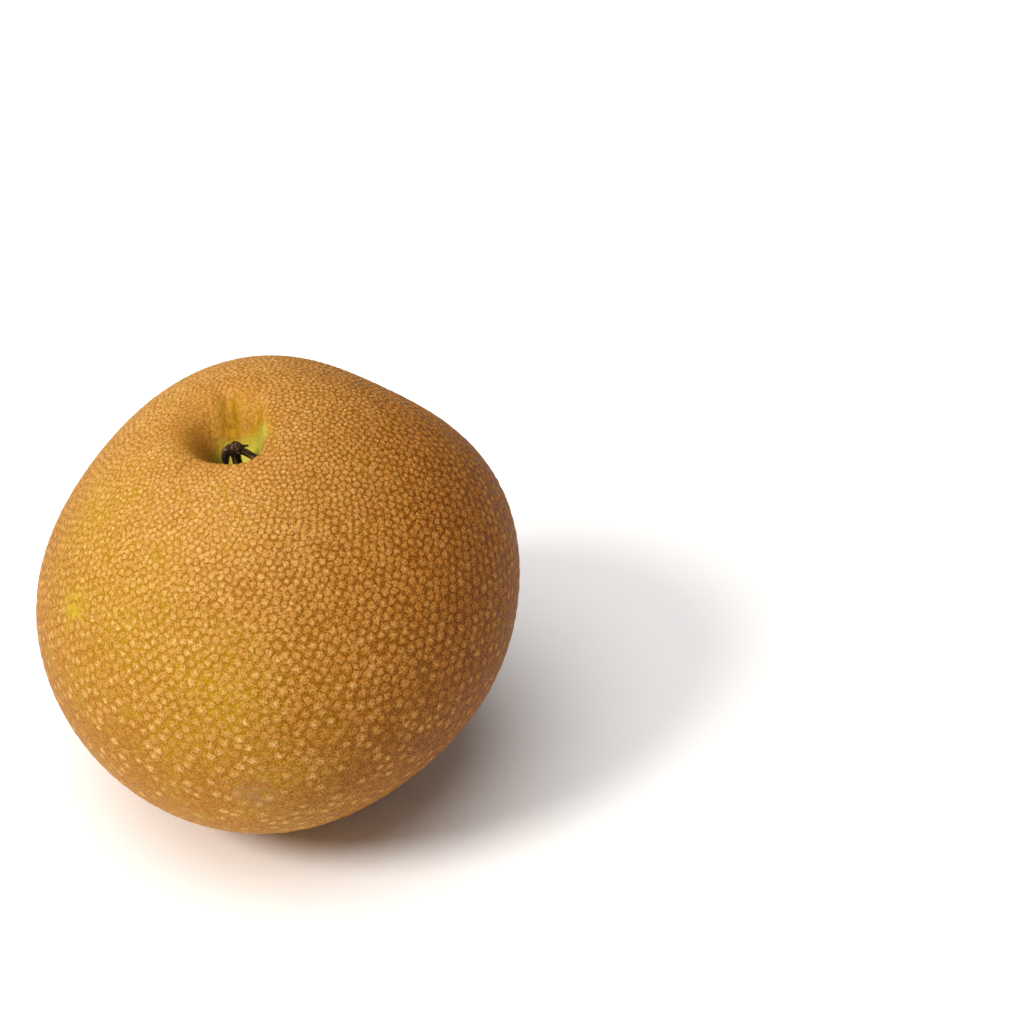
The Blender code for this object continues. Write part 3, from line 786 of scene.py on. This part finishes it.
# Painted light: yellow on the cavity wall that faces the lamps, joined to the real yellow of the strips
painted_wall_light = add(tree, MATH, TIMES, _0=inside, _1=lit_wall)
yellow_and_painted_light = add(tree, MATH, {"operation": "MAXIMUM"}, _0=in_strip, _1=painted_wall_light)
yellow_and_painted_light = add(tree, MATH, TIMES, _0=yellow_and_painted_light, _1=0.85)
# Painted shade along one side of the main furrow
painted_crease_shade = add(tree, MATH, TIMES, _0=kept["crease"], _1=0.60)
# Painted shade: the green is darker close under the stem and on the wall in shade
out_from_stem = add(tree, MAP, SMOOTH, Value=stem_mm, From_Min=1.8, From_Max=4.6)
stem_green_and_shade = add(tree, MIX, COLOURS, out=2, _0=out_from_stem, _6="#7A7C24", _7="#BAB242")
stem_green_and_shade = add(tree, MIX, COLOURS, out=2, _0=lit_wall, _6="#6E6420", _7=stem_green_and_shade)
cavity_coats = (
    (blush, "#B06C1C"),
    (painted_wall_shade, "#85500F"),
    (yellow_and_painted_light, yellow_skin),
    (painted_crease_shade, "#7C580A"),
    (near_stem, stem_green_and_shade),
)
for share, shade in cavity_coats:
    paint = add(tree, MIX, COLOURS, out=2, _0=share, _6=paint, _7=shade)
print("cavity painted in", len(cavity_coats), "coats")

# %% Marks
# A leaf shaded one spot on the left, which stayed green, and something rubbed the skin low in front
MARK_MM = 1.5
mottled = add(tree, NOISE, Vector=place, Scale=per_mm(MARK_MM), Detail=3.0, Roughness=SOFT_NOISE)
mottled = add(tree, MAP, SMOOTH, Value=mottled, From_Min=0.30, From_Max=0.62)
for name, strength, shade in (("fresh", 0.75, "#C2AA1C"), ("scuff", 0.65, "#A07850")):
    share = add(tree, MATH, TIMES, _0=kept[name], _1=mottled)
    share = add(tree, MATH, TIMES, _0=share, _1=strength)
    paint = add(tree, MIX, COLOURS, out=2, _0=share, _6=paint, _7=shade)
tree.links.new(paint, shader.inputs["Base Color"])
print("skin colour takes", len(tree.nodes), "nodes")

# %% [markdown]
# Plant wax and cork have an IOR near 1.45. Air in the cork scatters most of the light before it
# can shine, so the specular level is far under the usual 0.5, and the roughness is 0.48 on the
# thin skin and 0.64 on the cork. Two bumps give the crumbs and the edges that are finer than the
# mesh.

# %% Gloss and fine relief
CRUMB_RISE, EDGE_RISE = 0.11 * MM, 0.10 * MM
gloss = add(tree, MAP, SMOOTH, Value=disc, From_Min=0.0, From_Max=1.0, To_Min=0.48, To_Max=0.64)
tree.links.new(gloss, shader.inputs["Roughness"])
shader.inputs["IOR"].default_value = 1.45
shader.inputs["Specular IOR Level"].default_value = 0.07
lumps = add(tree, MATH, TIMES_PLUS, _0=clump, _1=-0.5, _2=grain)
bump = add(tree, "ShaderNodeBump", out="Normal", Strength=0.8, Distance=CRUMB_RISE, Height=lumps)
bump = add(tree, "ShaderNodeBump", out="Normal", Strength=0.6, Distance=EDGE_RISE, Height=disc, Normal=bump)
tree.links.new(bump, shader.inputs["Normal"])
mesh.materials.append(russet)
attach(skin, "root")
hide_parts("fruit")
print("skin painted with", len(tree.nodes), "nodes")

# %% [markdown]
# ## Stem
# The stem broke off short and dried: a woody trunk that ends in a knob, with torn strands that
# splay to both sides. It could be sculpted. Here each strand is a curve with its own thickness at
# each point, because a bent tube is easy to place. The curves are made mesh, joined, and fused by
# a voxel remesh, as wet clay would be pressed together.

# %% Stem strands
STRAND_ROUNDNESS = 5
STEPS_PER_STATION = 8


def strands(name, way, lines):
    """Tubes through stations (right, away, out, radius) in mm about a way out of the fruit."""
    right, away = frame_about(way)
    select_none()
    for line in lines:
        curve = bpy.data.curves.new(name, "CURVE")
        curve.dimensions = "3D"
        curve.bevel_depth = 1.0 * MM
        curve.bevel_resolution = STRAND_ROUNDNESS
        curve.use_fill_caps = True
        spline = curve.splines.new("NURBS")
        spline.points.add(len(line) - 1)
        spline.use_endpoint_u = True
        spline.order_u = 3
        spline.resolution_u = STEPS_PER_STATION
        for point, (x, y, out, radius) in zip(spline.points, line):
            spot = HEART + (right * x + away * y + way * out) * MM
            point.co = (*spot, 1.0)
            point.radius = radius
        tube = bpy.data.objects.new(name, curve)
        bpy.context.scene.collection.objects.link(tube)
        tube.select_set(True)
        bpy.context.view_layer.objects.active = tube
    bpy.ops.object.convert(target="MESH")
    bpy.ops.object.join()
    joined = bpy.context.active_object
    joined.name = name
    return joined


TRUNK = (
    (0, 0, 27.2, 1.45),
    (0, 0, 30.4, 1.45),
    (0.1, 0, 31.6, 1.12),
    (0, -0.1, 33.4, 0.8),
    (0.05, -0.1, 35.2, 0.82),
    (0.2, 0, 36.6, 0.9),
)
KNOB = ((0.45, 0, 35.6, 1.0), (0.40, 0, 36.6, 1.25), (0.35, 0, 37.3, 1.05), (0.3, 0, 37.75, 0.5))
KNOB_LEFT = ((-0.35, -0.1, 35.8, 0.8), (-0.5, -0.1, 36.7, 1.05), (-0.4, -0.1, 37.4, 0.6))
LEFT_STRAND = (
    (-0.1, 0.1, 36.9, 0.6),
    (-1.1, -0.1, 36.7, 0.74),
    (-1.6, -0.4, 35.5, 0.70),
    (-1.7, -0.7, 34.3, 0.58),
    (-1.65, -0.8, 33.9, 0.35),
)
RIGHT_STRAND = (
    (0.6, 0, 36.5, 0.7),
    (1.6, -0.2, 35.9, 0.60),
    (2.7, -0.3, 34.9, 0.60),
    (3.2, -0.4, 34.4, 0.66),
    (3.45, -0.4, 34.25, 0.40),
)
SMALL_BIT = ((0.8, 0.2, 37.0, 0.34), (1.8, 0.4, 36.5, 0.22), (2.5, 0.6, 36.4, 0.20))
STEM_LINES = (TRUNK, KNOB, KNOB_LEFT, LEFT_STRAND, RIGHT_STRAND, SMALL_BIT)
stem = strands("stem", STEM_WAY, STEM_LINES)
print("stem has", len(STEM_LINES), "strands and", len(stem.data.polygons), "faces")

# %% Fused stem
VOXEL = 0.10 * MM
SMOOTHING, SMOOTHING_ROUNDS = 0.5, 2


def fuse(piece, voxel):
    """One closed skin round all that a piece is made of."""
    remesh = piece.modifiers.new("fuse", "REMESH")
    remesh.mode = "VOXEL"
    remesh.voxel_size = voxel
    remesh.adaptivity = 0.0
    bpy.ops.object.modifier_apply(modifier="fuse")
    smooth = piece.modifiers.new("soften", "SMOOTH")
    smooth.factor = SMOOTHING
    smooth.iterations = SMOOTHING_ROUNDS
    bpy.ops.object.modifier_apply(modifier="soften")


fuse(stem, VOXEL)
print("stem fused to", len(stem.data.polygons), "faces")

# %% [markdown]
# A dried stem is all fibres. A bump would not show at its outline, so the mesh itself gets fine
# ridges that run along each strand. Every vertex finds the nearest point on the strands' middle
# lines, and a smooth noise that is stretched along the strand lifts or sinks it.

# %% Fibres
RIDGE_STRETCH = 0.35
STRAND_STEP = 7.3
FINE_LIFT, COARSE_LIFT, COARSE_SCALE = 0.62, 0.5, 0.55


def centre_lines(lines, steps=10):
    """Points, directions, distance along and strand number on the strands' middle lines, in mm."""
    points, tangents, run, strand = [], [], [], []
    for number, line in enumerate(lines):
        stations = np.array(line)[:, :3]
        pieces = [stations[:-1] + (stations[1:] - stations[:-1]) * step / steps for step in range(steps)]
        path = np.stack(pieces, axis=1).reshape(-1, 3)
        path = np.vstack((path, stations[-1:]))
        points.append(path)
        tangents.append(np.gradient(path, axis=0))
        run.append(np.concatenate(([0], np.cumsum(np.linalg.norm(np.diff(path, axis=0), axis=1)))))
        strand.append(np.full(len(path), number))
    tangents = np.vstack(tangents)
    tangents /= np.linalg.norm(tangents, axis=1)[:, None]
    return np.vstack(points), tangents, np.concatenate(run), np.concatenate(strand)


def add_fibres(piece, way, lines, ridge_mm, height, seed):
    """Ridges along the strands; keeps how high each point stands, for the paint."""
    right, away = frame_about(way)
    turn_in = np.array((right, away, way))
    count = len(piece.data.vertices)
    flat, flat_normals = np.zeros(count * 3), np.zeros(count * 3)
    piece.data.vertices.foreach_get("co", flat)
    piece.data.vertices.foreach_get("normal", flat_normals)
    local = (flat.reshape(-1, 3) - np.array(HEART)) @ turn_in.T / MM
    path, tangent, run, strand = centre_lines(lines)
    nearest = np.array([np.argmin(((path - point) ** 2).sum(axis=1)) for point in local])
    heading = tangent[nearest]
    side = np.cross(heading, (0.31, 0.87, 0.39))
    side /= np.linalg.norm(side, axis=1)[:, None]
    top = np.cross(heading, side)
    off = local - path[nearest]
    angle = np.arctan2((off * top).sum(axis=1), (off * side).sum(axis=1))
    round_mm = np.linalg.norm(off, axis=1) / ridge_mm
    lift = np.zeros(count)
    for index, near in enumerate(nearest):
        x, y = math.cos(angle[index]) * round_mm[index], math.sin(angle[index]) * round_mm[index]
        spot = Vector((x, y, run[near] * RIDGE_STRETCH))
        spot += Vector((strand[near] * STRAND_STEP + seed, 0, 0))
        lift[index] = FINE_LIFT * noise.noise(spot) + COARSE_LIFT * noise.noise(spot * COARSE_SCALE)
    moved = flat.reshape(-1, 3) + flat_normals.reshape(-1, 3) * (lift * height)[:, None]
    piece.data.vertices.foreach_set("co", moved.ravel())
    paint_value(piece.data, "lift", lift)
    piece.data.update()
    bpy.ops.object.shade_smooth()
    return lift


STEM_RIDGE_MM, STEM_RIDGE_RISE, STEM_SEED = 0.32, 0.20 * MM, 3
lift = add_fibres(stem, STEM_WAY, STEM_LINES, STEM_RIDGE_MM, STEM_RIDGE_RISE, STEM_SEED)
print("stem ridges from", round(lift.min(), 2), "to", round(lift.max(), 2))

# %% [markdown]
# Dead stem wood is dark in its grooves, where sap and dirt dried, and grey brown on its worn
# ridges. The grooves are painted nearly black, partly that dirt and partly painted shade. Wood has
# an IOR near 1.5. It is torn and not planed, so its roughness is 0.75 and its shine is weak. The
# finest fibres are 0.05 mm, and the bump draws them at 0.16 mm to show.

# %% Dried stem wood
# Nearly black in the grooves: partly dried sap and dirt, partly painted shade
BARK_STOPS = (
    (0.0, "#0E0804"),
    (0.45, "#2C1B0D"),
    (0.78, "#604526"),
    (1.0, "#967B56"),
)
FIBRE_MM = 0.16
dry_wood, tree, shader = new_material("dried stem wood")
place = add(tree, "ShaderNodeTexCoord", out="Object")
lifted = add(tree, "ShaderNodeAttribute", {"attribute_name": "lift"}, out="Fac")
lifted = add(tree, MAP, SMOOTH, Value=lifted, From_Min=-0.45, From_Max=0.60)
bark = add(tree, RAMP, {"interpolation": "LINEAR", "stops": BARK_STOPS}, out="Color", Fac=lifted)
mottle = add(tree, NOISE, Vector=place, Scale=per_mm(0.7), Detail=4.0, Roughness=SOFT_NOISE)
mottle = add(tree, MAP, SMOOTH, Value=mottle, From_Min=0.40, From_Max=0.68, To_Max=0.60)
bark = add(tree, MIX, COLOURS, out=2, _0=mottle, _6=bark, _7="#4D2C0F")
tree.links.new(bark, shader.inputs["Base Color"])
shader.inputs["Roughness"].default_value = 0.75
shader.inputs["IOR"].default_value = 1.5
shader.inputs["Specular IOR Level"].default_value = 0.3
fibre = add(tree, NOISE, Vector=place, Scale=per_mm(FIBRE_MM), Detail=4.0, Roughness=SOFT_NOISE)
bump = add(tree, "ShaderNodeBump", out="Normal", Strength=0.7, Distance=0.06 * MM, Height=fibre)
tree.links.new(bump, shader.inputs["Normal"])
stem.data.materials.append(dry_wood)
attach(stem, "root")
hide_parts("stem")
print("stem painted with", len(tree.nodes), "nodes")

# %% [markdown]
# ## Calyx
# Under the fruit sits what is left of the flower: a small cup, five dried sepals that curl out of
# it, and a few threads that carried the pollen. Nobody sees it while the fruit stands, but it is
# there when it is turned. It is made as the stem is, because it dried in the same way.

# %% Cup, sepals and threads
SEPALS, THREADS = 5, 9
CUP = ((0, 0, 31.6, 1.45), (0, 0, 34.0, 1.45), (0, 0, 35.0, 1.85), (0, 0, 35.6, 1.7))
SEPAL = ((1.1, 0, 34.9, 0.5), (2.1, 0.1, 35.6, 0.58), (2.9, 0.25, 36.5, 0.42), (2.9, 0.4, 37.2, 0.22))
THREAD_FOOT = 35.1
CALYX_RIDGE_MM, CALYX_RIDGE_RISE, CALYX_SEED = 0.30, 0.14 * MM, 17
calyx_chance = random.Random(5)
calyx_lines = [CUP]
for number in range(SEPALS):
    bearing = 2 * math.pi * (number + 0.12 * calyx_chance.uniform(-1, 1)) / SEPALS
    bend = calyx_chance.uniform(-0.25, 0.25)
    line = []
    for reach, slide, out, radius in SEPAL:
        swing = bearing + slide * bend
        line.append((reach * math.cos(swing), reach * math.sin(swing), out + bend * slide, radius))
    calyx_lines.append(tuple(line))
for number in range(THREADS):
    bearing = 2 * math.pi * (number + calyx_chance.uniform(-0.3, 0.3)) / THREADS
    inner, outer = calyx_chance.uniform(0.5, 1.0), calyx_chance.uniform(0.7, 1.7)
    tip = calyx_chance.uniform(36.5, 37.2)
    start = (inner * math.cos(bearing), inner * math.sin(bearing), THREAD_FOOT, 0.2)
    swing = bearing + calyx_chance.uniform(-0.5, 0.5)
    half = (1.1 * inner * math.cos(swing), 1.1 * inner * math.sin(swing), (THREAD_FOOT + tip) / 2, 0.16)
    end = (outer * math.cos(swing), outer * math.sin(swing), tip, 0.17)
    calyx_lines.append((start, half, end))
calyx = strands("calyx", CALYX_WAY, calyx_lines)
fuse(calyx, VOXEL)
lift = add_fibres(calyx, CALYX_WAY, calyx_lines, CALYX_RIDGE_MM, CALYX_RIDGE_RISE, CALYX_SEED)
print("calyx fused to", len(calyx.data.polygons), "faces")

# %% [markdown]
# Dried sepals are like brown paper: thin leaf that shrank and wrinkled as it lost its water. Leaf has
# an IOR near 1.5, and the wrinkles make it quite rough, at 0.8. The ridges are a paler brown than the
# folds. Real wrinkles are about 0.1 mm, and the bump draws them at 0.18 mm to show.

# %% Dried calyx
LEAF_STOPS = (
    (0.0, "#23150A"),
    (0.5, "#4D331C"),
    (1.0, "#7F6340"),
)
WRINKLE_MM = 0.18
dry_leaf, tree, shader = new_material("dried papery calyx")
place = add(tree, "ShaderNodeTexCoord", out="Object")
lifted = add(tree, "ShaderNodeAttribute", {"attribute_name": "lift"}, out="Fac")
lifted = add(tree, MAP, SMOOTH, Value=lifted, From_Min=-0.45, From_Max=0.55)
leaf = add(tree, RAMP, {"interpolation": "LINEAR", "stops": LEAF_STOPS}, out="Color", Fac=lifted)
mottle = add(tree, NOISE, Vector=place, Scale=per_mm(0.9), Detail=4.0, Roughness=SOFT_NOISE)
mottle = add(tree, MAP, SMOOTH, Value=mottle, From_Min=0.40, From_Max=0.70, To_Max=0.50)
leaf = add(tree, MIX, COLOURS, out=2, _0=mottle, _6=leaf, _7="#694D2F")
tree.links.new(leaf, shader.inputs["Base Color"])
shader.inputs["Roughness"].default_value = 0.8
shader.inputs["IOR"].default_value = 1.5
wrinkle = add(tree, NOISE, Vector=place, Scale=per_mm(WRINKLE_MM), Detail=4.0, Roughness=SOFT_NOISE)
bump = add(tree, "ShaderNodeBump", out="Normal", Strength=0.6, Distance=0.05 * MM, Height=wrinkle)
tree.links.new(bump, shader.inputs["Normal"])
calyx.data.materials.append(dry_leaf)
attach(calyx, "root")
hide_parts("calyx")
print("calyx painted with", len(tree.nodes), "nodes")
